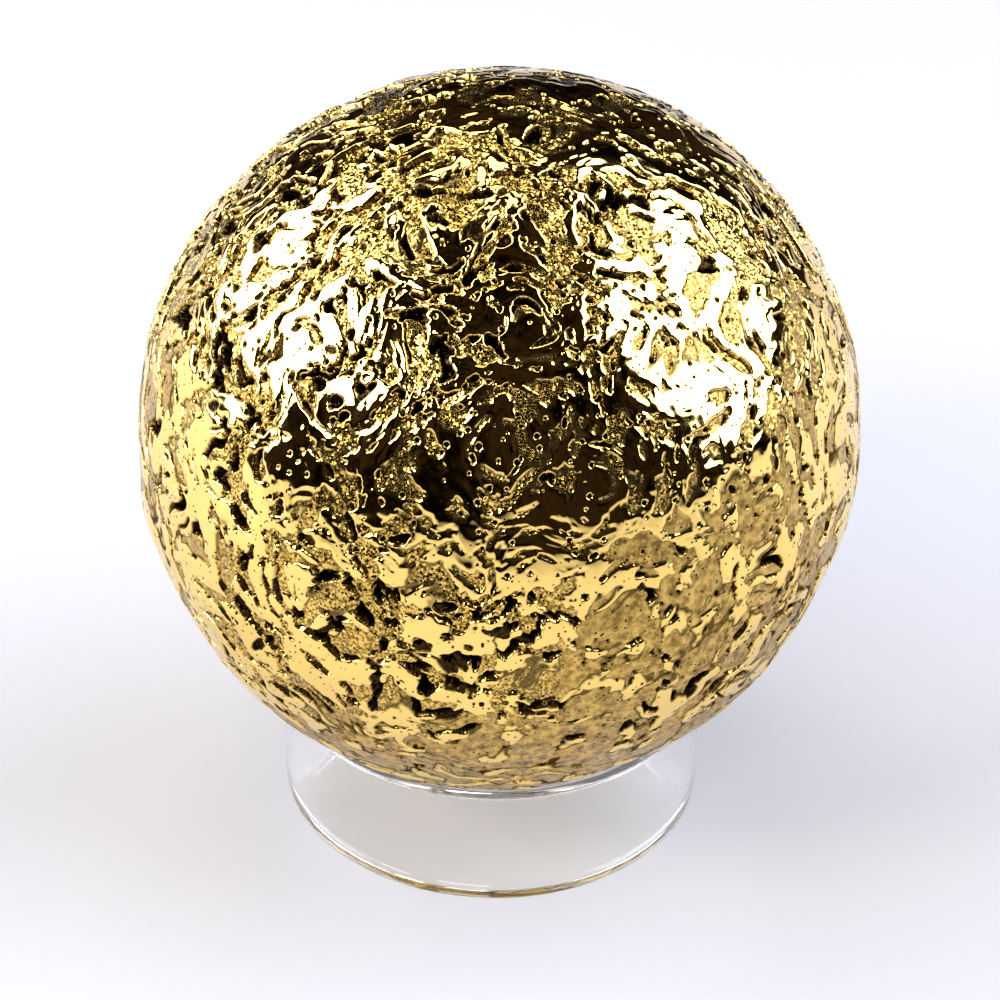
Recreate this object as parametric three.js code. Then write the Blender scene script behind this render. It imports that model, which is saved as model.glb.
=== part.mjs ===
// A decorative ball of porous lava stone, coated all over with a thin bright gold-coloured
// metal film, which rests loose in a short ring of clear acrylic tube.
//
// Units are millimetres and +Z is up. The origin is on the axis of the ring, on the surface
// that the ring stands on. The ball and the ring are the only two pieces: the ball sits in
// the ring by its own weight and lifts straight off it.

import * as THREE from "three";
import { mergeVertices } from "three/addons/utils/BufferGeometryUtils.js";

// ---- Driving dimensions -------------------------------------------------------------------

const BALL_RADIUS = 31; // mean radius of the polished faces between the hollows
const RING_OUTER_RADIUS = 19;
const RING_WALL = 2.2;
const RING_HEIGHT = 11.5;
const SEAT_BEVEL = 1.2; // width and height of the bevel round the top of the bore
const EDGE_BREAK = 0.25; // the small chamfer on the ring's other sawn edges
const SEAT_GAP = 0.15; // air left between the ball's highest face and the edge that carries it
const SEAT_REACH = 2; // how far to each side of the seat edge the ball's surface is searched

const BALL_DETAIL = 19; // each edge of the icosahedron is cut into BALL_DETAIL + 1
const RING_SEGMENTS = 96;

// The stone's relief. Pairs are the smallest and the largest value.
const HOLLOW_COUNT = 230;
const HOLLOW_HALF_WIDTH = [1.9, 3.1];
const HOLLOW_LENGTH_OVER_WIDTH = [1, 2.3];
const HOLLOW_DEPTH = [0.5, 1.3];
const HOLLOW_RIM = 0.6; // share of the half width over which a hollow's side comes down
const FLOW_TURN = 1.2; // radians between the hollows' lie low on the ball and high on it
const FLOW_SPREAD = 0.9; // radians of scatter about that lie
const SWELL_COUNT = 9;
const SWELL_LENGTH = [16, 34]; // wavelengths of the slow waviness
const SWELL_HEIGHT = 0.1; // half the height of each wave

const GOLDEN_ANGLE = Math.PI * (3 - Math.sqrt(5));

// ---- Places that follow from them ---------------------------------------------------------

const ringInnerRadius = RING_OUTER_RADIUS - RING_WALL;
// The ball leans on the upper edge of the bevel.
const seatRadius = ringInnerRadius + SEAT_BEVEL;

// ---- Helpers ------------------------------------------------------------------------------

// A number from 0 to 1 that looks random and is the same on every run.
function scatter(index, salt) {
  const wave = Math.sin(index * 12.9898 + salt * 78.233) * 43758.5453;
  return wave - Math.floor(wave);
}

function between([low, high], share) {
  return low + (high - low) * share;
}

function smoothStep(share) {
  const t = Math.min(Math.max(share, 0), 1);
  return t * t * (3 - 2 * t);
}

// A direction from a spiral that covers the sphere evenly, for item index of count.
function spiralDirection(index, count, turn) {
  const z = 1 - (2 * (index + 0.5)) / count;
  const flat = Math.sqrt(1 - z * z);
  const angle = index * GOLDEN_ANGLE + turn;
  return new THREE.Vector3(flat * Math.cos(angle), flat * Math.sin(angle), z);
}

// ---- The stone's relief -------------------------------------------------------------------

// Gas bubbles were drawn out by the flow of the lava, so the broken ones are oval. They lie
// level low on the ball and turn steeper towards its top.
function makeHollow(index) {
  const centre = spiralDirection(index, HOLLOW_COUNT, scatter(index, 1));
  const level = new THREE.Vector3(0, 0, 1).cross(centre).normalize();
  const upward = centre.clone().cross(level);
  const turn = FLOW_TURN * smoothStep(centre.z) + FLOW_SPREAD * (scatter(index, 2) - 0.5);
  const halfWidth = between(HOLLOW_HALF_WIDTH, scatter(index, 3));
  return {
    centre,
    along: level.clone().multiplyScalar(Math.cos(turn)).addScaledVector(upward, Math.sin(turn)),
    across: upward.clone().multiplyScalar(Math.cos(turn)).addScaledVector(level, -Math.sin(turn)),
    halfWidth,
    halfLength: halfWidth * between(HOLLOW_LENGTH_OVER_WIDTH, scatter(index, 4)),
    depth: between(HOLLOW_DEPTH, scatter(index, 5)),
  };
}

function makeSwell(index) {
  return {
    direction: spiralDirection(index, SWELL_COUNT, 0),
    length: between(SWELL_LENGTH, scatter(index, 6)),
    phase: 2 * Math.PI * scatter(index, 7),
  };
}

const hollows = Array.from({ length: HOLLOW_COUNT }, (_, index) => makeHollow(index));
const swells = Array.from({ length: SWELL_COUNT }, (_, index) => makeSwell(index));
const widestHollow = HOLLOW_HALF_WIDTH[1] * HOLLOW_LENGTH_OVER_WIDTH[1];
const farthestCosine = Math.cos(widestHollow / BALL_RADIUS);

// How far one hollow sinks the surface in this direction.
function hollowDepth(hollow, direction) {
  if (hollow.centre.dot(direction) < farthestCosine) return 0;
  const along = (BALL_RADIUS * hollow.along.dot(direction)) / hollow.halfLength;
  const across = (BALL_RADIUS * hollow.across.dot(direction)) / hollow.halfWidth;
  return hollow.depth * smoothStep((1 - Math.hypot(along, across)) / HOLLOW_RIM);
}

// How far one slow wave lifts it, or sinks it when this is negative.
function swellLift(swell, direction) {
  const distance = BALL_RADIUS * swell.direction.dot(direction);
  return SWELL_HEIGHT * Math.sin((2 * Math.PI * distance) / swell.length + swell.phase);
}

function surfaceRadius(direction) {
  const sunk = hollows.map((hollow) => hollowDepth(hollow, direction));
  const lifts = swells.map((swell) => swellLift(swell, direction));
  return BALL_RADIUS - Math.max(...sunk) + lifts.reduce((sum, lift) => sum + lift, 0);
}

// ---- Pieces -------------------------------------------------------------------------------

function makeBall() {
  const geometry = new THREE.IcosahedronGeometry(1, BALL_DETAIL);
  geometry.deleteAttribute("normal");
  geometry.deleteAttribute("uv");
  const surface = mergeVertices(geometry, 1e-4);
  const points = surface.getAttribute("position");
  const direction = new THREE.Vector3();
  for (let i = 0; i < points.count; i++) {
    direction.fromBufferAttribute(points, i).normalize();
    direction.multiplyScalar(surfaceRadius(direction));
    points.setXYZ(i, direction.x, direction.y, direction.z);
  }
  surface.computeBoundingBox();
  const middle = surface.boundingBox.getCenter(new THREE.Vector3());
  surface.translate(-middle.x, -middle.y, -middle.z);
  surface.computeVertexNormals();
  const goldFilm = new THREE.MeshStandardMaterial({
    color: 0xe3b45a,
    metalness: 1,
    roughness: 0.12,
  });
  const ball = new THREE.Mesh(surface, goldFilm);
  ball.name = "lava_stone_ball";
  return ball;
}

function makeRingStand() {
  const inner = ringInnerRadius;
  const outer = RING_OUTER_RADIUS;
  const profile = [
    [inner + EDGE_BREAK, 0],
    [outer - EDGE_BREAK, 0],
    [outer, EDGE_BREAK],
    [outer, RING_HEIGHT - EDGE_BREAK],
    [outer - EDGE_BREAK, RING_HEIGHT],
    [seatRadius, RING_HEIGHT],
    [inner, RING_HEIGHT - SEAT_BEVEL],
    [inner, EDGE_BREAK],
    [inner + EDGE_BREAK, 0],
  ].map(([radius, height]) => new THREE.Vector2(radius, height));
  const geometry = new THREE.LatheGeometry(profile, RING_SEGMENTS);
  geometry.rotateX(Math.PI / 2); // a lathe turns about Y, and the ring stands up along Z
  const clearAcrylic = new THREE.MeshStandardMaterial({
    color: 0xf4f6f8,
    metalness: 0,
    roughness: 0.03,
    transparent: true,
    opacity: 0.3,
  });
  const ring = new THREE.Mesh(geometry, clearAcrylic);
  ring.name = "acrylic_ring_stand";
  return ring;
}

// ---- The assembly -------------------------------------------------------------------------

// The height of the ball's centre when it is let down until its surface meets the seat edge.
// Each point within reach of that edge holds the ball as a sphere through it would.
function restingHeight(ballGeometry) {
  const points = ballGeometry.getAttribute("position");
  const point = new THREE.Vector3();
  let reach = 0;
  for (let i = 0; i < points.count; i++) {
    point.fromBufferAttribute(points, i);
    const offAxis = Math.hypot(point.x, point.y);
    if (point.z > 0 || Math.abs(offAxis - seatRadius) > SEAT_REACH) continue;
    reach = Math.max(reach, point.length());
  }
  return RING_HEIGHT + Math.sqrt((reach + SEAT_GAP) ** 2 - seatRadius ** 2);
}

const ball = makeBall();
ball.position.z = restingHeight(ball.geometry);
const ballInRing = new THREE.Group();
ballInRing.add(makeRingStand(), ball);

export default ballInRing;
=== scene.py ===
"""A gold-coated lava stone ball resting in a clear acrylic ring, on a pale table under soft light."""

import math

import bpy
import numpy as np
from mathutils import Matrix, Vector


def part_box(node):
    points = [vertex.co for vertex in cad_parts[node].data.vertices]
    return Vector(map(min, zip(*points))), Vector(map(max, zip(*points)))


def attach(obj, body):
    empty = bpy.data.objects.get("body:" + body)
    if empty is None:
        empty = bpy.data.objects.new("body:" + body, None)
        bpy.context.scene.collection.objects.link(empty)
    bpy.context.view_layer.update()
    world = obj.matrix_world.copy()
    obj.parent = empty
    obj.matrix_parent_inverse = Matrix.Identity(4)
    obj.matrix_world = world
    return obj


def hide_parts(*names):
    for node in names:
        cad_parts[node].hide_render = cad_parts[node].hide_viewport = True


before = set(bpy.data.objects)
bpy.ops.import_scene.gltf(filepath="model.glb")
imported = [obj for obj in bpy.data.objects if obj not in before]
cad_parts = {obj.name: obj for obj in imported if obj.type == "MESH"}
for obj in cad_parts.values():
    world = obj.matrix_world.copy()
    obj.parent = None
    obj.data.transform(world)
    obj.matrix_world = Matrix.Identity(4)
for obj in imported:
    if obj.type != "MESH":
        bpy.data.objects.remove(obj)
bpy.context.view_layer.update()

MM = 0.001

# ---- Places that the frame gives --------------------------------------------------------------

ball_low, ball_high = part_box("lava_stone_ball")
ring_low, ring_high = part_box("acrylic_ring_stand")
ball_centre = (ball_low + ball_high) / 2

# ---- Driving sizes, in millimetres unless they say otherwise ----------------------------------

BALL_RADIUS = 31.0
SEAT_AIR = 0.02  # left between the ball and the ring that carries it
GRID = 460  # quads along each edge of the cube that is blown up into the ball
UV_MARGIN = 0.01  # between the cube's sides on the UV sheet, as a share of it

RING_WALL = 2.2
SEAT_BEVEL = 1.2  # width and height of the bevel round the top of the ring's bore
RING_EDGE_BREAK = 0.25
RING_AROUND = 256
FOOT_HEIGHT = 0.01  # what lies below this is the ring's foot

TABLE_Z = -0.03 * MM  # a hair below the ring, so that the two faces don't fight
TABLE_HALF_SIZE = 1.6  # metres

# The flow of the lava ran in circles about this direction, and drew everything out along them.
FLOW_POLE = Vector((0.02, -0.87, 0.49)).normalized()
FLOW_STRETCH = 1.35  # how much longer it made things, well away from the pole
FLOW_CALM = (0.25, 0.9)  # radians from the pole over which that sets in

# The stone's relief.
RECESS = 0.2  # how far the broken ground lies below the islands, on average
SLOT_DEPTH = 0.95
HOLLOW_DEPTH = 0.8
HOLLOW_REACH = 0.6  # how far from an island the stone is hollowed out
PILLOW = 0.06  # how much higher an island's middle is than its edge

# Parts of the ball where the stone is close-grained, with few and shallow pits. Each has the
# direction of its middle, the cosine of the angle out from there at which the stone is as broken as
# elsewhere, how much more of it is ground smooth (less, where this is negative), and how dull the
# rest is.
CLOSE_GRAINED = [
    (Vector((0.87, -0.47, 0.17)), 0.80, 0.1, 0.7),
    (Vector((0.60, -0.79, -0.13)), 0.84, -0.20, 1.0),
    (Vector((-0.94, -0.33, 0.02)), 0.87, 0.10, 0.7),
    (Vector((0.0, -0.60, -0.80)), 0.72, -0.20, 1.0),
    (Vector((0.22, -0.88, 0.42)), 0.91, 0.25, 0.0),
    (Vector((-0.40, -0.84, 0.36)), 0.95, 0.2, 0.0),
    (Vector((0.30, 0.14, 0.94)), 0.88, 0.25, 0.0),
    (Vector((0.44, -0.47, 0.77)), 0.93, 0.0, 0.0),
    (Vector((-0.35, 0.80, 0.40)), 0.84, -0.10, 0.7),
]

# ---- Colours ----------------------------------------------------------------------------------

WHITE = (1, 1, 1, 1)
GOLD = (0.95, 0.66, 0.19, 1)
CRYSTAL_SHADE = (0.2, 0.11, 0.02, 1)
CRYSTAL_LIGHT = (0.92, 0.62, 0.15, 1)
DULL_SHADE = (0.24, 0.14, 0.035, 1)
DULL_LIGHT = (0.72, 0.47, 0.12, 1)
# The pits' colour: bare stone where the coating doesn't reach, and painted shade as well.
PIT_STONE_AND_SHADE = (0.014, 0.006, 0.003, 1)
PIT_SHADED_GLANCE = (0.05, 0.04, 0.03, 1)  # what a pit keeps of the mirror's edge-on shine, dimmed as painted shade
ACRYLIC = (0.98, 0.98, 0.975, 1)
TABLE = (0.53, 0.51, 0.50, 1)
ROOM_DARK = (0.002, 0.0015, 0.0015, 1)
ROOM_LIGHT = (0.030, 0.020, 0.015, 1)

# How much of a lamp's light each face of the acrylic passes on. More than 1 makes it brighter.
THROUGH_WALL = (1.2, 1.19, 1.15, 1)
THROUGH_FOOT = (0.25, 0.25, 0.26, 1)

COOL_LAMP = (0.93, 1.0, 1.2)
WARM_LAMP = (1.0, 0.99, 0.97)
WHITE_LAMP = (1, 1, 1)

# ---- Fine patterns in the materials, in cells to a metre --------------------------------------

CRYSTALS = 5500
PINHOLES = 1600
MOTTLE = 1300
SMUDGES = 260
TUBE_LINES = (1600, 1600, 50)  # across, across and along the tube

# ---- Noise ------------------------------------------------------------------------------------

TEN_BITS = np.uint32(1023)
NOISE_GAIN = np.float32(1.6)  # brings the sum of the slopes up to about -1 to 1


def hash_lattice(x, y, z, pattern):
    """A well mixed 32-bit number for each lattice corner."""
    h = x * np.uint32(0x8DA6B343) ^ y * np.uint32(0xD8163841) ^ z * np.uint32(0xCB1AB31F)
    h ^= np.uint32((pattern * 0x9E3779B9) & 0xFFFFFFFF)
    h ^= h >> np.uint32(15)
    h *= np.uint32(0x2C1B3C6D)
    h ^= h >> np.uint32(12)
    h *= np.uint32(0x297A2D39)
    h ^= h >> np.uint32(15)
    return h


def ten_bits(h, index):
    """One of the three numbers from 0 to 1023 that a hash holds."""
    return ((h >> np.uint32(10 * index)) & TEN_BITS).astype(np.float32)


def noise(points, size, pattern):
    """Smooth gradient noise, from about -1 to 1, with bumps about size across."""
    p = points / np.float32(size)
    cell = np.floor(p)
    f = (p - cell).astype(np.float32)
    corner = cell.astype(np.int64).astype(np.uint32)
    fade = f * f * f * (f * (f * 6 - 15) + 10)
    total = np.zeros(len(p), np.float32)
    for step in np.ndindex(2, 2, 2):
        h = hash_lattice(*[corner[:, axis] + np.uint32(step[axis]) for axis in range(3)], pattern)
        share = np.ones(len(p), np.float32)
        rise = np.zeros(len(p), np.float32)
        for axis in range(3):
            share *= fade[:, axis] if step[axis] else 1 - fade[:, axis]
            slope = ten_bits(h, axis) / 511.5 - 1  # from -1 to 1
            rise += slope * (f[:, axis] - step[axis])
        total += share * rise
    return total * NOISE_GAIN


def layered(points, *layers):
    """Layers of noise added up. Each is the size of its bumps, its height and its pattern."""
    return sum(height * noise(points, size, pattern) for size, height, pattern in layers)


def smooth_step(low, high, value):
    """0 up to low, 1 from high on, and a smooth rise between them."""
    t = np.clip((value - low) / (high - low), 0, 1)
    return t * t * (3 - 2 * t)


# ---- The ball's grid --------------------------------------------------------------------------


def cube_sphere(count):
    """Directions, quads and corner UVs of a cube with count quads to an edge, blown up to a sphere."""
    turn = np.tan((np.arange(count + 1) / count - 0.5) * (math.pi / 2))
    u, v = np.meshgrid(turn, turn, indexing="ij")
    one = np.ones_like(u)
    sides = [(one, u, v), (-one, v, u), (v, one, u), (u, -one, v), (u, v, one), (v, u, -one)]
    points = np.concatenate([np.stack(side, -1).reshape(-1, 3) for side in sides])
    points /= np.linalg.norm(points, axis=1, keepdims=True)
    rank = np.arange((count + 1) ** 2).reshape(count + 1, count + 1)
    quad = np.stack([rank[:-1, :-1], rank[1:, :-1], rank[1:, 1:], rank[:-1, 1:]], -1).reshape(-1, 4)
    quads = np.concatenate([quad + side * (count + 1) ** 2 for side in range(6)])
    # Points on the cube's edges belong to two or three sides, and become one point here.
    keys = np.round(points * 1e6).astype(np.int64)
    _, first, same = np.unique(keys, axis=0, return_index=True, return_inverse=True)
    return points[first], same.reshape(-1)[quads], side_uvs(u, v)[quads]


def side_uvs(u, v):
    """UVs for the points of a cube's six sides, laid out in two rows of three."""
    share = np.arctan(np.stack([u, v], -1).reshape(-1, 2)) / (math.pi / 2) + 0.5
    size = np.array([1 / 3 - UV_MARGIN, 1 / 2 - UV_MARGIN])
    corners = [np.array([(side % 3) / 3, (side // 3) / 2]) for side in range(6)]
    return np.concatenate([share * size + corner + UV_MARGIN / 2 for corner in corners])


# ---- The stone's relief -----------------------------------------------------------------------


def flow_point(points):
    """Points in a space where what is round comes out drawn along the flow."""
    pole = np.array(FLOW_POLE, np.float32)
    along = points @ pole
    length = np.linalg.norm(points, axis=1)
    angle = np.arccos(np.clip(along / length, -1, 1))
    off = points - along[:, None] * pole
    from_pole = np.minimum(angle, math.pi - angle)
    stretch = 1 + (FLOW_STRETCH - 1) * smooth_step(*FLOW_CALM, from_pole)
    return off / stretch[:, None] - (length * angle)[:, None] * pole


def bent(points):
    """The same points, pushed about a little, so that nothing follows a straight line."""
    push = [layered(points, (6.0, 1.8, 100 + axis), (1.8, 0.35, 110 + axis)) for axis in range(3)]
    return points + np.stack(push, -1)


def bubbles(points, cell, radii, share, pattern):
    """Depth of the broken gas bubbles that points lie in.

    There is one bubble to each cell, in a share of the cells. Its radius is between radii, and is
    nearer the smaller one more often.
    """
    p = points / np.float32(cell)
    base = np.floor(p)
    deepest = np.zeros(len(p), np.float32)
    for step in np.ndindex(3, 3, 3):
        corner = base + (np.array(step, np.float32) - 1)
        grid = corner.astype(np.int64).astype(np.uint32)
        h = hash_lattice(grid[:, 0], grid[:, 1], grid[:, 2], pattern)
        spot = np.stack([ten_bits(h, axis) for axis in range(3)], -1)
        gap = p - corner - spot / 1024
        other = hash_lattice(h, h, h, pattern + 1)
        size = (ten_bits(other, 0) / 1024) ** 2
        radius = (radii[0] + (radii[1] - radii[0]) * size) / cell
        there = ten_bits(other, 1) < share * 1024
        bowl = 1 - (gap * gap).sum(-1) / radius**2
        steeper = np.maximum(bowl, 0) ** 0.7
        depth = np.where(there & (bowl > 0), radius * steeper, 0)
        np.maximum(deepest, depth, out=deepest)
    return deepest * np.float32(cell)


def grain(directions, p):
    """How close-grained the stone is, how much more of it is ground smooth, and how dull the rest is."""
    wander = 0.05 * noise(p, 7.0, 30)
    closest, more_land, dull = np.zeros((3, len(p)), np.float32)
    for centre, reach, share, dullness in CLOSE_GRAINED:
        cosine = directions @ np.array(centre.normalized()) + wander
        amount = smooth_step(reach, (1 + reach) / 2, cosine)
        np.maximum(closest, amount, out=closest)
        np.maximum(dull, dullness * amount, out=dull)
        more_land += share * amount
    return closest, more_land, dull


def island_field(p, q):
    """Above 0 on the ground islands of lava, and below 0 in the broken ground between them."""
    drawn_out = layered(q, (2.2, 1, 3), (1.1, 0.6, 4), (0.5, 0.25, 5))
    return drawn_out + layered(p, (7.0, 0.25, 6), (15.0, 0.15, 15))


def broken_ground(p, p_bent, q, close):
    """Height of the ground between the islands, which is crystalline, and more so in some patches."""
    crystals = layered(p_bent, (1.0, 0.11, 9)) + layered(p, (0.55, 0.035, 10))
    patches = 0.35 + 1.3 * smooth_step(-0.2, 0.5, noise(p, 3.5, 17))
    return (1 - 0.6 * close) * (layered(q, (2.8, 0.2, 14)) - RECESS + patches * crystals)


def slots(q, field, land, close):
    """Depth of the narrow slots that lie along the islands' edges."""
    likely = layered(q, (1.4, 1, 7), (0.7, 0.25, 8)) - 0.5 * np.abs(field) - 0.2 * close
    return SLOT_DEPTH * smooth_step(0.19, 0.29, likely) * (1 - 0.85 * land)


def hollows(directions, p, p_bent, land, close):
    """Depth of the hollows beside the islands, on their side towards the flow's pole."""
    pole = np.array(FLOW_POLE, np.float32)
    away = directions * (directions @ pole)[:, None] - pole
    away /= np.maximum(np.linalg.norm(away, axis=1, keepdims=True), 0.2)
    reach = HOLLOW_REACH * away
    beyond = island_field(p + reach, flow_point(p_bent + reach))
    likely = beyond - layered(p, (3.0, 0.4, 18)) - 0.3 * close
    return HOLLOW_DEPTH * smooth_step(0.16, 0.30, likely) * (1 - land)


def pores(p, p_bent, q, close):
    """Depth of the gas bubbles, from large ones that the flow drew out to small round ones."""
    large = 1.1 * bubbles(q, 2.2, (0.3, 0.75), 0.5, 21) * (1 - close)
    middle = 1.2 * bubbles(p_bent, 1.6, (0.18, 0.4), 0.36, 23)
    small = 2.0 * bubbles(p, 0.9, (0.1, 0.25), 0.5, 25)
    return np.maximum(np.maximum(large, middle), small)


def seat_room(directions):
    """How far the ball may reach in each direction before it comes to the ring."""
    seat = (ring_high.x - ring_low.x) / 2 / MM - RING_WALL + SEAT_BEVEL
    drop = (ball_centre.z - ring_high.z) / MM
    down = np.maximum(-directions[:, 2], 1e-3)
    out = np.hypot(directions[:, 0], directions[:, 1])
    over_top = drop / down
    over_bevel = (drop + seat) / (down + out)
    return np.maximum(over_top, over_bevel) - SEAT_AIR


def relief(directions):
    """The surface in each direction: its height over BALL_RADIUS, its polish, its depth and its dullness.

    Depth runs from 0 to 1, at the bottom of a pit, and is raised along the islands' feet too. It makes
    the colour nearly black there: bare stone, and painted shade.
    Dullness counts where the surface isn't polished.
    """
    p = (directions * BALL_RADIUS).astype(np.float32)
    p_bent = bent(p)
    q = flow_point(p_bent)
    close, more_land, dull = grain(directions, p)
    field = island_field(p, q) + more_land
    # Where the islands' sides come down more gently, this is larger.
    gentle = 0.05 + 0.25 * smooth_step(0.0, 0.6, noise(p, 4.0, 16)) + 0.1 * close
    land = smooth_step(-1, 1, (field + 0.02) / gentle)
    broken_out = np.maximum(slots(q, field, land, close), hollows(directions, p, p_bent, land, close))
    pits = pores(p, p_bent, q, close) + broken_out

    swell = layered(p, (24.0, 0.35, 1)) + layered(p_bent, (8.0, 0.24, 2))
    ripple = layered(q, (2.0, 0.05, 12)) + layered(p, (1.0, 0.014, 13))
    ground = ripple + PILLOW * smooth_step(0, 0.5, field)
    height = swell + land * ground + (1 - land) * broken_ground(p, p_bent, q, close) - pits
    height = np.minimum(height, seat_room(directions) - BALL_RADIUS)

    polish = land * (1 - smooth_step(0.02, 0.1, pits))
    # Painted shade: depth also darkens a band at the foot of each island's edge, a shaded crevice where
    # the coating is thin.
    island_foot_shade = smooth_step(0.02, 0.3, land) * (1 - smooth_step(0.5, 0.95, land))
    depth = np.maximum(smooth_step(0.02, 0.16, pits), 0.8 * island_foot_shade)
    return height, polish, depth, dull


# ---- Pieces -----------------------------------------------------------------------------------


def new_object(name, data):
    thing = bpy.data.objects.new(name, data)
    bpy.context.scene.collection.objects.link(thing)
    return thing


def add_values(mesh, name, values):
    """A number for each point of a mesh, for its material to read."""
    attribute = mesh.attributes.new(name, "FLOAT", "POINT")
    attribute.data.foreach_set("value", np.asarray(values, np.float32))


def quad_mesh(name, points, quads, corner_uv):
    """A smooth mesh of quads. It takes arrays, because the ball has over a million of them."""
    mesh = bpy.data.meshes.new(name)
    mesh.vertices.add(len(points))
    mesh.vertices.foreach_set("co", points.astype(np.float32).ravel())
    mesh.loops.add(quads.size)
    mesh.loops.foreach_set("vertex_index", quads.astype(np.int32).ravel())
    mesh.polygons.add(len(quads))
    mesh.polygons.foreach_set("loop_start", np.arange(0, quads.size, 4, dtype=np.int32))
    mesh.polygons.foreach_set("use_smooth", np.ones(len(quads), bool))
    mesh.update(calc_edges=True)
    layer = mesh.uv_layers.new(name="OFBake")
    layer.data.foreach_set("uv", corner_uv.astype(np.float32).ravel())
    return mesh


def make_ball():
    directions, quads, corner_uv = cube_sphere(GRID)
    height, polish, depth, dull = relief(directions)
    points = np.array(ball_centre) + directions * ((BALL_RADIUS + height) * MM)[:, None]
    mesh = quad_mesh("gold_lava_ball", points, quads, corner_uv)
    add_values(mesh, "polish", polish)
    # The depth values darken the colour: bare stone, and painted shade in the pits and at the islands'
    # feet.
    add_values(mesh, "depth", depth)
    add_values(mesh, "dull", dull)
    mesh.materials.append(gold_material())
    ball = new_object("gold_lava_ball", mesh)
    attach(ball, "ball")
    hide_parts("lava_stone_ball")


def soften(corners, cut, steps=4):
    """A closed outline with each of its corners turned into a short curve, cut long to each side."""
    outline = []
    for index, corner in enumerate(corners):
        before = (corners[index - 1] - corner).normalized() * cut
        after = (corners[(index + 1) % len(corners)] - corner).normalized() * cut
        for step in range(steps + 1):
            t = step / steps
            outline.append(corner + before * (1 - t) ** 2 + after * t**2)
    return outline


def ring_profile():
    """The ring's section, as distances from its axis and heights."""
    outer = (ring_high.x - ring_low.x) / 2
    inner = outer - RING_WALL * MM
    low, high = ring_low.z, ring_high.z
    bevel = SEAT_BEVEL * MM
    corners = [(outer, low), (outer, high), (inner + bevel, high), (inner, high - bevel), (inner, low)]
    return soften([Vector(corner) for corner in corners], RING_EDGE_BREAK * MM)


def turned(profile, around):
    """Points and faces of a closed profile turned round the Z axis."""
    turns = [step * 2 * math.pi / around for step in range(around)]
    points = [(r * math.cos(turn), r * math.sin(turn), z) for turn in turns for r, z in profile]
    count = len(profile)
    faces = []
    for i in range(around):
        j = (i + 1) % around
        for k in range(count):
            m = (k + 1) % count
            faces.append((i * count + k, j * count + k, j * count + m, i * count + m))
    return points, faces


def make_ring():
    points, faces = turned(ring_profile(), RING_AROUND)
    mesh = bpy.data.meshes.new("clear_ring")
    mesh.from_pydata(points, [], faces)
    mesh.polygons.foreach_set("use_smooth", np.ones(len(faces), bool))
    mesh.update()
    add_values(mesh, "foot", [z < ring_low.z + FOOT_HEIGHT * MM for _, _, z in points])
    mesh.materials.append(acrylic_material())
    ring = new_object("clear_ring", mesh)
    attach(ring, "ring_stand")
    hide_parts("acrylic_ring_stand")


# ---- Nodes ------------------------------------------------------------------------------------


def set_inputs(tree, node, inputs):
    """Sets each input of a node to a value, or joins it to another node's output."""
    for name, value in inputs.items():
        if isinstance(value, bpy.types.NodeSocket):
            tree.links.new(value, node.inputs[name])
        else:
            node.inputs[name].default_value = value


def add_node(tree, kind, inputs, **settings):
    node = tree.nodes.new(kind)
    for name, value in settings.items():
        setattr(node, name, value)
    set_inputs(tree, node, inputs)
    return node


def new_material(name):
    """A material with a Principled shader, its node tree and that shader."""
    material = bpy.data.materials.new(name)
    material.use_nodes = True
    tree = material.node_tree
    tree.nodes.clear()
    shader = tree.nodes.new("ShaderNodeBsdfPrincipled")
    add_node(tree, "ShaderNodeOutputMaterial", {"Surface": shader.outputs["BSDF"]})
    return material, tree, shader


def read_values(tree, name):
    """The numbers that the mesh holds under this name."""
    return add_node(tree, "ShaderNodeAttribute", {}, attribute_name=name).outputs["Fac"]


def coordinates(tree, kind):
    return tree.nodes.new("ShaderNodeTexCoord").outputs[kind]


def map_range(tree, value, low, high, start=0, end=1):
    """A number that goes from low to high as value goes from start to end."""
    ends = {"From Min": start, "From Max": end, "To Min": low, "To Max": high}
    return add_node(tree, "ShaderNodeMapRange", {"Value": value, **ends}).outputs["Result"]


def mix_colour(tree, factor, a, b):
    """Colour a where factor is 0, and colour b where it is 1."""
    inputs = {"Factor": factor, "A": a, "B": b}
    return add_node(tree, "ShaderNodeMix", inputs, data_type="RGBA").outputs["Result"]


def ramp(tree, factor, *stops):
    """A colour ramp with two stops, each a position and a colour."""
    node = add_node(tree, "ShaderNodeValToRGB", {"Fac": factor})
    for element, (position, colour) in zip(node.color_ramp.elements, stops):
        element.position = position
        element.color = colour
    return node.outputs["Color"]


# ---- Materials --------------------------------------------------------------------------------


def gold_material():
    """A mirror on the islands, crystals between them, and nearly black in the pits: bare stone, and
    painted shade.
    """
    material, tree, shader = new_material("gold_coated_lava")
    place = coordinates(tree, "Object")
    crystals = add_node(tree, "ShaderNodeTexVoronoi", {"Vector": place, "Scale": CRYSTALS})
    polish = read_values(tree, "polish")
    dull = read_values(tree, "dull")
    depth = pit_shade_with_pinholes(tree, place)
    between_islands = mix_colour(tree, dull, crystal_colour(tree, crystals), dull_colour(tree, place))
    coating = mix_colour(tree, polish, between_islands, GOLD)
    inputs = {
        # Nearly black where depth is high: bare stone, and painted shade in the pits, the pinholes and
        # along the islands' feet.
        "Base Color": mix_colour(tree, depth, coating, PIT_STONE_AND_SHADE),
        "Metallic": map_range(tree, depth, 1.0, 0.9),
        "Roughness": map_range(tree, polish, map_range(tree, dull, 0.10, 0.34), 0.05),
        "Specular IOR Level": 0.15,
        # The mirror's shine in the pits is dimmed too, as painted shade.
        "Specular Tint": mix_colour(tree, depth, WHITE, PIT_SHADED_GLANCE),
        "Normal": crystal_faces(tree, place, crystals, polish, dull),
    }
    set_inputs(tree, shader, inputs)
    return material


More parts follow.
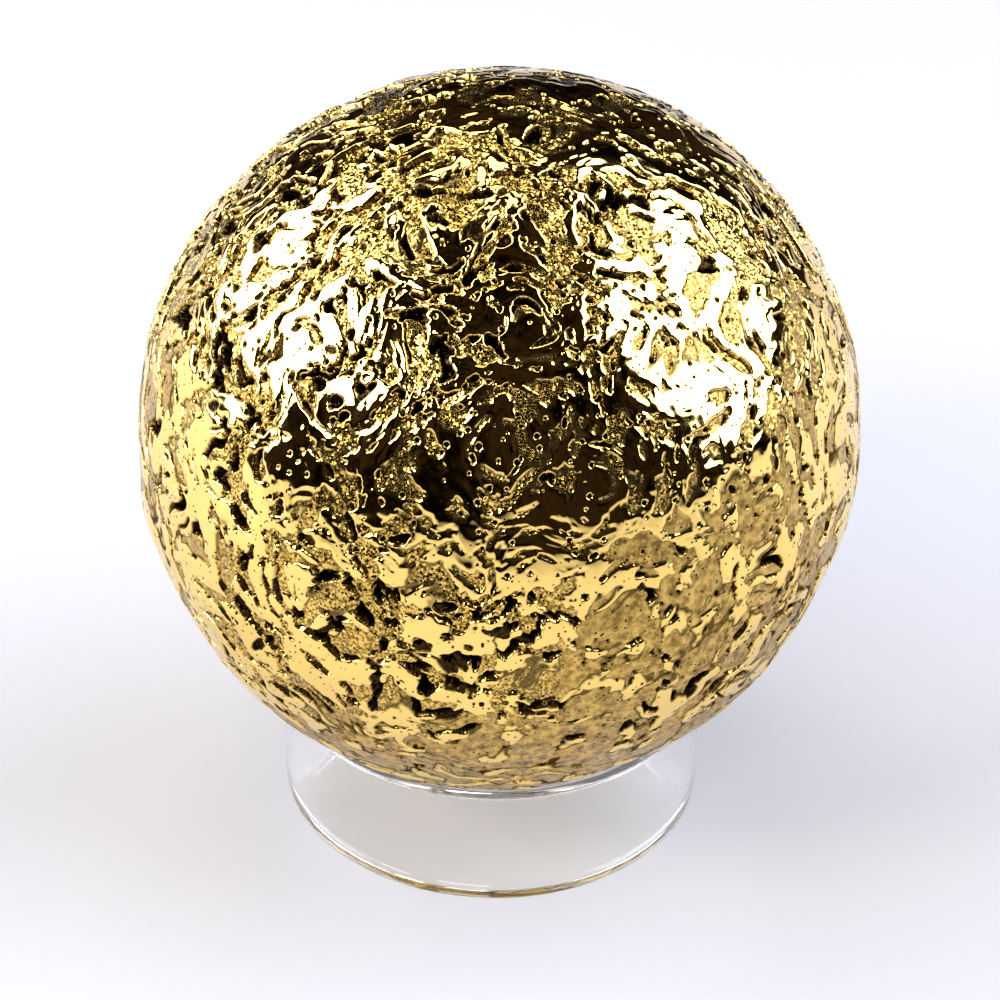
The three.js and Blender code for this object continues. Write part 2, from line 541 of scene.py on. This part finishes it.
def pit_shade_with_pinholes(tree, place):
    """The mesh's depth, with pinholes that are too small for its grid. It darkens the colour: bare stone,
    and painted shade.
    """
    holes = add_node(tree, "ShaderNodeTexVoronoi", {"Vector": place, "Scale": PINHOLES})
    pinhole = map_range(tree, holes.outputs["Distance"], 0, 1, 0.19, 0.13)
    inputs = {0: read_values(tree, "depth"), 1: pinhole}
    return add_node(tree, "ShaderNodeMath", inputs, operation="MAXIMUM").outputs["Value"]


def crystal_colour(tree, crystals):
    return ramp(tree, crystals.outputs["Color"], (0.3, CRYSTAL_SHADE), (0.8, CRYSTAL_LIGHT))


def dull_colour(tree, place):
    inputs = {"Vector": place, "Scale": MOTTLE, "Detail": 5, "Roughness": 0.65}
    patches = add_node(tree, "ShaderNodeTexNoise", inputs)
    return ramp(tree, patches.outputs["Fac"], (0.38, DULL_SHADE), (0.62, DULL_LIGHT))


def crystal_faces(tree, place, crystals, polish, dull):
    """A normal that makes each crystal a small flat face with a tilt of its own."""
    inputs = {0: crystals.outputs["Color"], 1: (0.5, 0.5, 0.5)}
    tilt = add_node(tree, "ShaderNodeVectorMath", inputs, operation="SUBTRACT")
    inputs = {0: place, 1: crystals.outputs["Position"]}
    reach = add_node(tree, "ShaderNodeVectorMath", inputs, operation="SUBTRACT")
    inputs = {0: tilt.outputs["Vector"], 1: reach.outputs["Vector"]}
    face = add_node(tree, "ShaderNodeVectorMath", inputs, operation="DOT_PRODUCT")
    inputs = {
        "Strength": map_range(tree, polish, map_range(tree, dull, 0.45, 0.25), 0.0),
        "Distance": 1.0,
        "Height": face.outputs["Value"],
    }
    return add_node(tree, "ShaderNodeBump", inputs).outputs["Normal"]


def acrylic_material():
    """Clear, with faint smudges and faint lines along the tube, and open to lamps.

    Lamps reach the table through it. Each of its faces passes on a little more than reaches it, which
    stands in for what the curved wall gathers. Under the ring's foot the table is dark.
    """
    material, tree, shader = new_material("clear_acrylic")
    place = coordinates(tree, "Object")
    inputs = {
        "Base Color": ACRYLIC,
        "IOR": 1.49,
        "Transmission Weight": 1.0,
        "Roughness": smudges(tree, place),
        "Normal": tube_lines(tree, place),
    }
    set_inputs(tree, shader, inputs)
    open_to_lamps(tree, shader)
    return material


def smudges(tree, place):
    patches = add_node(tree, "ShaderNodeTexNoise", {"Vector": place, "Scale": SMUDGES, "Detail": 4})
    return map_range(tree, patches.outputs["Fac"], 0.008, 0.07, 0.5, 0.75)


def tube_lines(tree, place):
    """A normal with fine lines that run from the ring's foot to its top."""
    along = add_node(tree, "ShaderNodeMapping", {"Vector": place, "Scale": TUBE_LINES})
    inputs = {"Vector": along.outputs["Vector"], "Scale": 1, "Detail": 3}
    lines = add_node(tree, "ShaderNodeTexNoise", inputs)
    inputs = {"Height": lines.outputs["Fac"], "Distance": 0.003 * MM}
    return add_node(tree, "ShaderNodeBump", inputs).outputs["Normal"]


def open_to_lamps(tree, shader):
    """Shows the shader to everything but a lamp's light, which passes straight through."""
    shade = mix_colour(tree, read_values(tree, "foot"), THROUGH_WALL, THROUGH_FOOT)
    clear = add_node(tree, "ShaderNodeBsdfTransparent", {"Color": shade})
    ray = tree.nodes.new("ShaderNodeLightPath")
    inputs = {"Fac": ray.outputs["Is Shadow Ray"], 1: shader.outputs["BSDF"], 2: clear.outputs["BSDF"]}
    mix = add_node(tree, "ShaderNodeMixShader", inputs)
    set_inputs(tree, tree.nodes["Material Output"], {"Surface": mix.outputs["Shader"]})


def table_material():
    material, tree, shader = new_material("pale_table")
    set_inputs(tree, shader, {"Base Color": TABLE, "Roughness": 0.55})
    return material


# ---- The studio -------------------------------------------------------------------------------

# Name, direction from the ball, distance, width and height in metres, watts, and colour.
SOFTBOXES = [
    ("window_left", (-0.82, 0.18, 0.50), 0.8, 0.9, 0.8, 10.8, COOL_LAMP),
    ("window_right", (0.76, 0.10, 0.62), 0.8, 1.0, 0.9, 12.8, COOL_LAMP),
    ("ceiling", (-0.15, 0.42, 0.90), 0.8, 0.4, 0.3, 1.3, WHITE_LAMP),
    ("key", (-0.64, -0.46, 0.61), 0.9, 0.25, 0.25, 4.0, WARM_LAMP),
    ("fill", (-0.2, -0.8, 0.6), 0.35, 0.15, 0.15, 0.5, WARM_LAMP),
]


def make_table():
    far = TABLE_HALF_SIZE
    corners = [(-far, -far, TABLE_Z), (far, -far, TABLE_Z), (far, far, TABLE_Z), (-far, far, TABLE_Z)]
    mesh = bpy.data.meshes.new("table")
    mesh.from_pydata(corners, [], [(0, 1, 2, 3)])
    mesh.materials.append(table_material())
    table = new_object("table", mesh)


def make_softbox(name, direction, distance, width, height, power, colour):
    light = bpy.data.lights.new(name, "AREA")
    light.shape = "RECTANGLE"
    light.size = width
    light.size_y = height
    light.energy = power
    light.color = colour
    box = new_object(name, light)
    aim = Vector(direction).normalized()
    box.location = ball_centre + aim * distance
    box.rotation_mode = "QUATERNION"
    box.rotation_quaternion = aim.to_track_quat("Z", "Y")


def make_room():
    """Dim surroundings with vague lighter patches, for the gold to mirror."""
    world = bpy.data.worlds.new("room")
    bpy.context.scene.world = world
    world.use_nodes = True
    tree = world.node_tree
    inputs = {"Vector": coordinates(tree, "Generated"), "Scale": 2.5, "Detail": 3}
    patches = add_node(tree, "ShaderNodeTexNoise", inputs)
    colour = ramp(tree, patches.outputs["Fac"], (0.42, ROOM_DARK), (0.62, ROOM_LIGHT))
    set_inputs(tree, tree.nodes["Background"], {"Color": colour})


def make_lights():
    for softbox in SOFTBOXES:
        make_softbox(*softbox)
    # It lifts the shadow round the ring. Its mirror image would show on the ball's front.
    bpy.data.objects["fill"].visible_glossy = False
    make_room()


def make_camera():
    """At the photograph's angle: 33.4 degrees up, and the ball a little above the middle.

    The camera points a little below the ball and to its left. The shift brings the ball back across.
    """
    elevation = math.radians(33.4)
    down = math.radians(1.39)
    aside = math.radians(1.8)
    extra_shift = 0.004
    camera = bpy.data.cameras.new("camera")
    camera.sensor_width = 36
    camera.lens = 109.7
    camera.clip_start = 0.01
    camera.shift_x = math.tan(aside) * camera.lens / camera.sensor_width + extra_shift
    view = new_object("camera", camera)
    away = Vector((0, -math.cos(elevation), math.sin(elevation)))
    view.location = ball_centre + away * 8.5 * BALL_RADIUS * MM
    aim = Vector((-math.sin(aside), math.cos(elevation + down), -math.sin(elevation + down)))
    view.rotation_mode = "QUATERNION"
    view.rotation_quaternion = aim.to_track_quat("-Z", "Y")
    bpy.context.scene.camera = view


def set_cycles():
    cycles = bpy.context.scene.cycles
    cycles.use_denoising = True
    # Enough bounces for light that runs inside the ring's wall to come out again.
    cycles.max_bounces = 32
    cycles.glossy_bounces = 24
    cycles.transmission_bounces = 24
    # Lamps already shine through the ring by way of its material.
    cycles.caustics_refractive = False


make_camera()
make_ball()
make_ring()
make_table()
make_lights()
bpy.context.scene.view_settings.view_transform = "Standard"
set_cycles()
